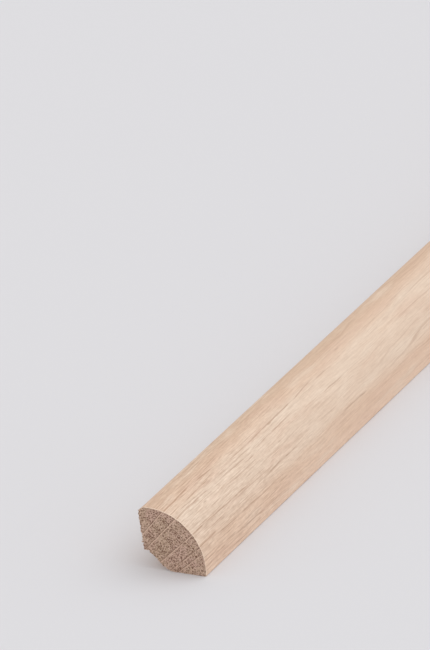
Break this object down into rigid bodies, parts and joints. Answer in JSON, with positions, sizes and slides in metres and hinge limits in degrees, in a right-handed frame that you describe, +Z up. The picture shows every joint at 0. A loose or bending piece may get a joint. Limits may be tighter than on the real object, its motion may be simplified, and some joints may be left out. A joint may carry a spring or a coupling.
{
  "type": "quarter round moulding",
  "caption": "Solid oak quarter round moulding: quarter-circle face, rounded nose, relieved wall side and bevelled heel, sawn square at its ends.",
  "frame": {"origin": "on the floor face's plane, under the middle of the section's width and halfway along the length", "axes": "+Y along the length, +Z up from the floor face, -X towards the wall side, +X towards the toe of the quarter-circle face"},
  "size_m": [0.015, 1, 0.014],
  "materials": {
    "oak": "raw, planed and unfinished"
  },
  "bodies": {
    "root": {"quarter_round_moulding": "oak"}
  },
  "joints": []
}
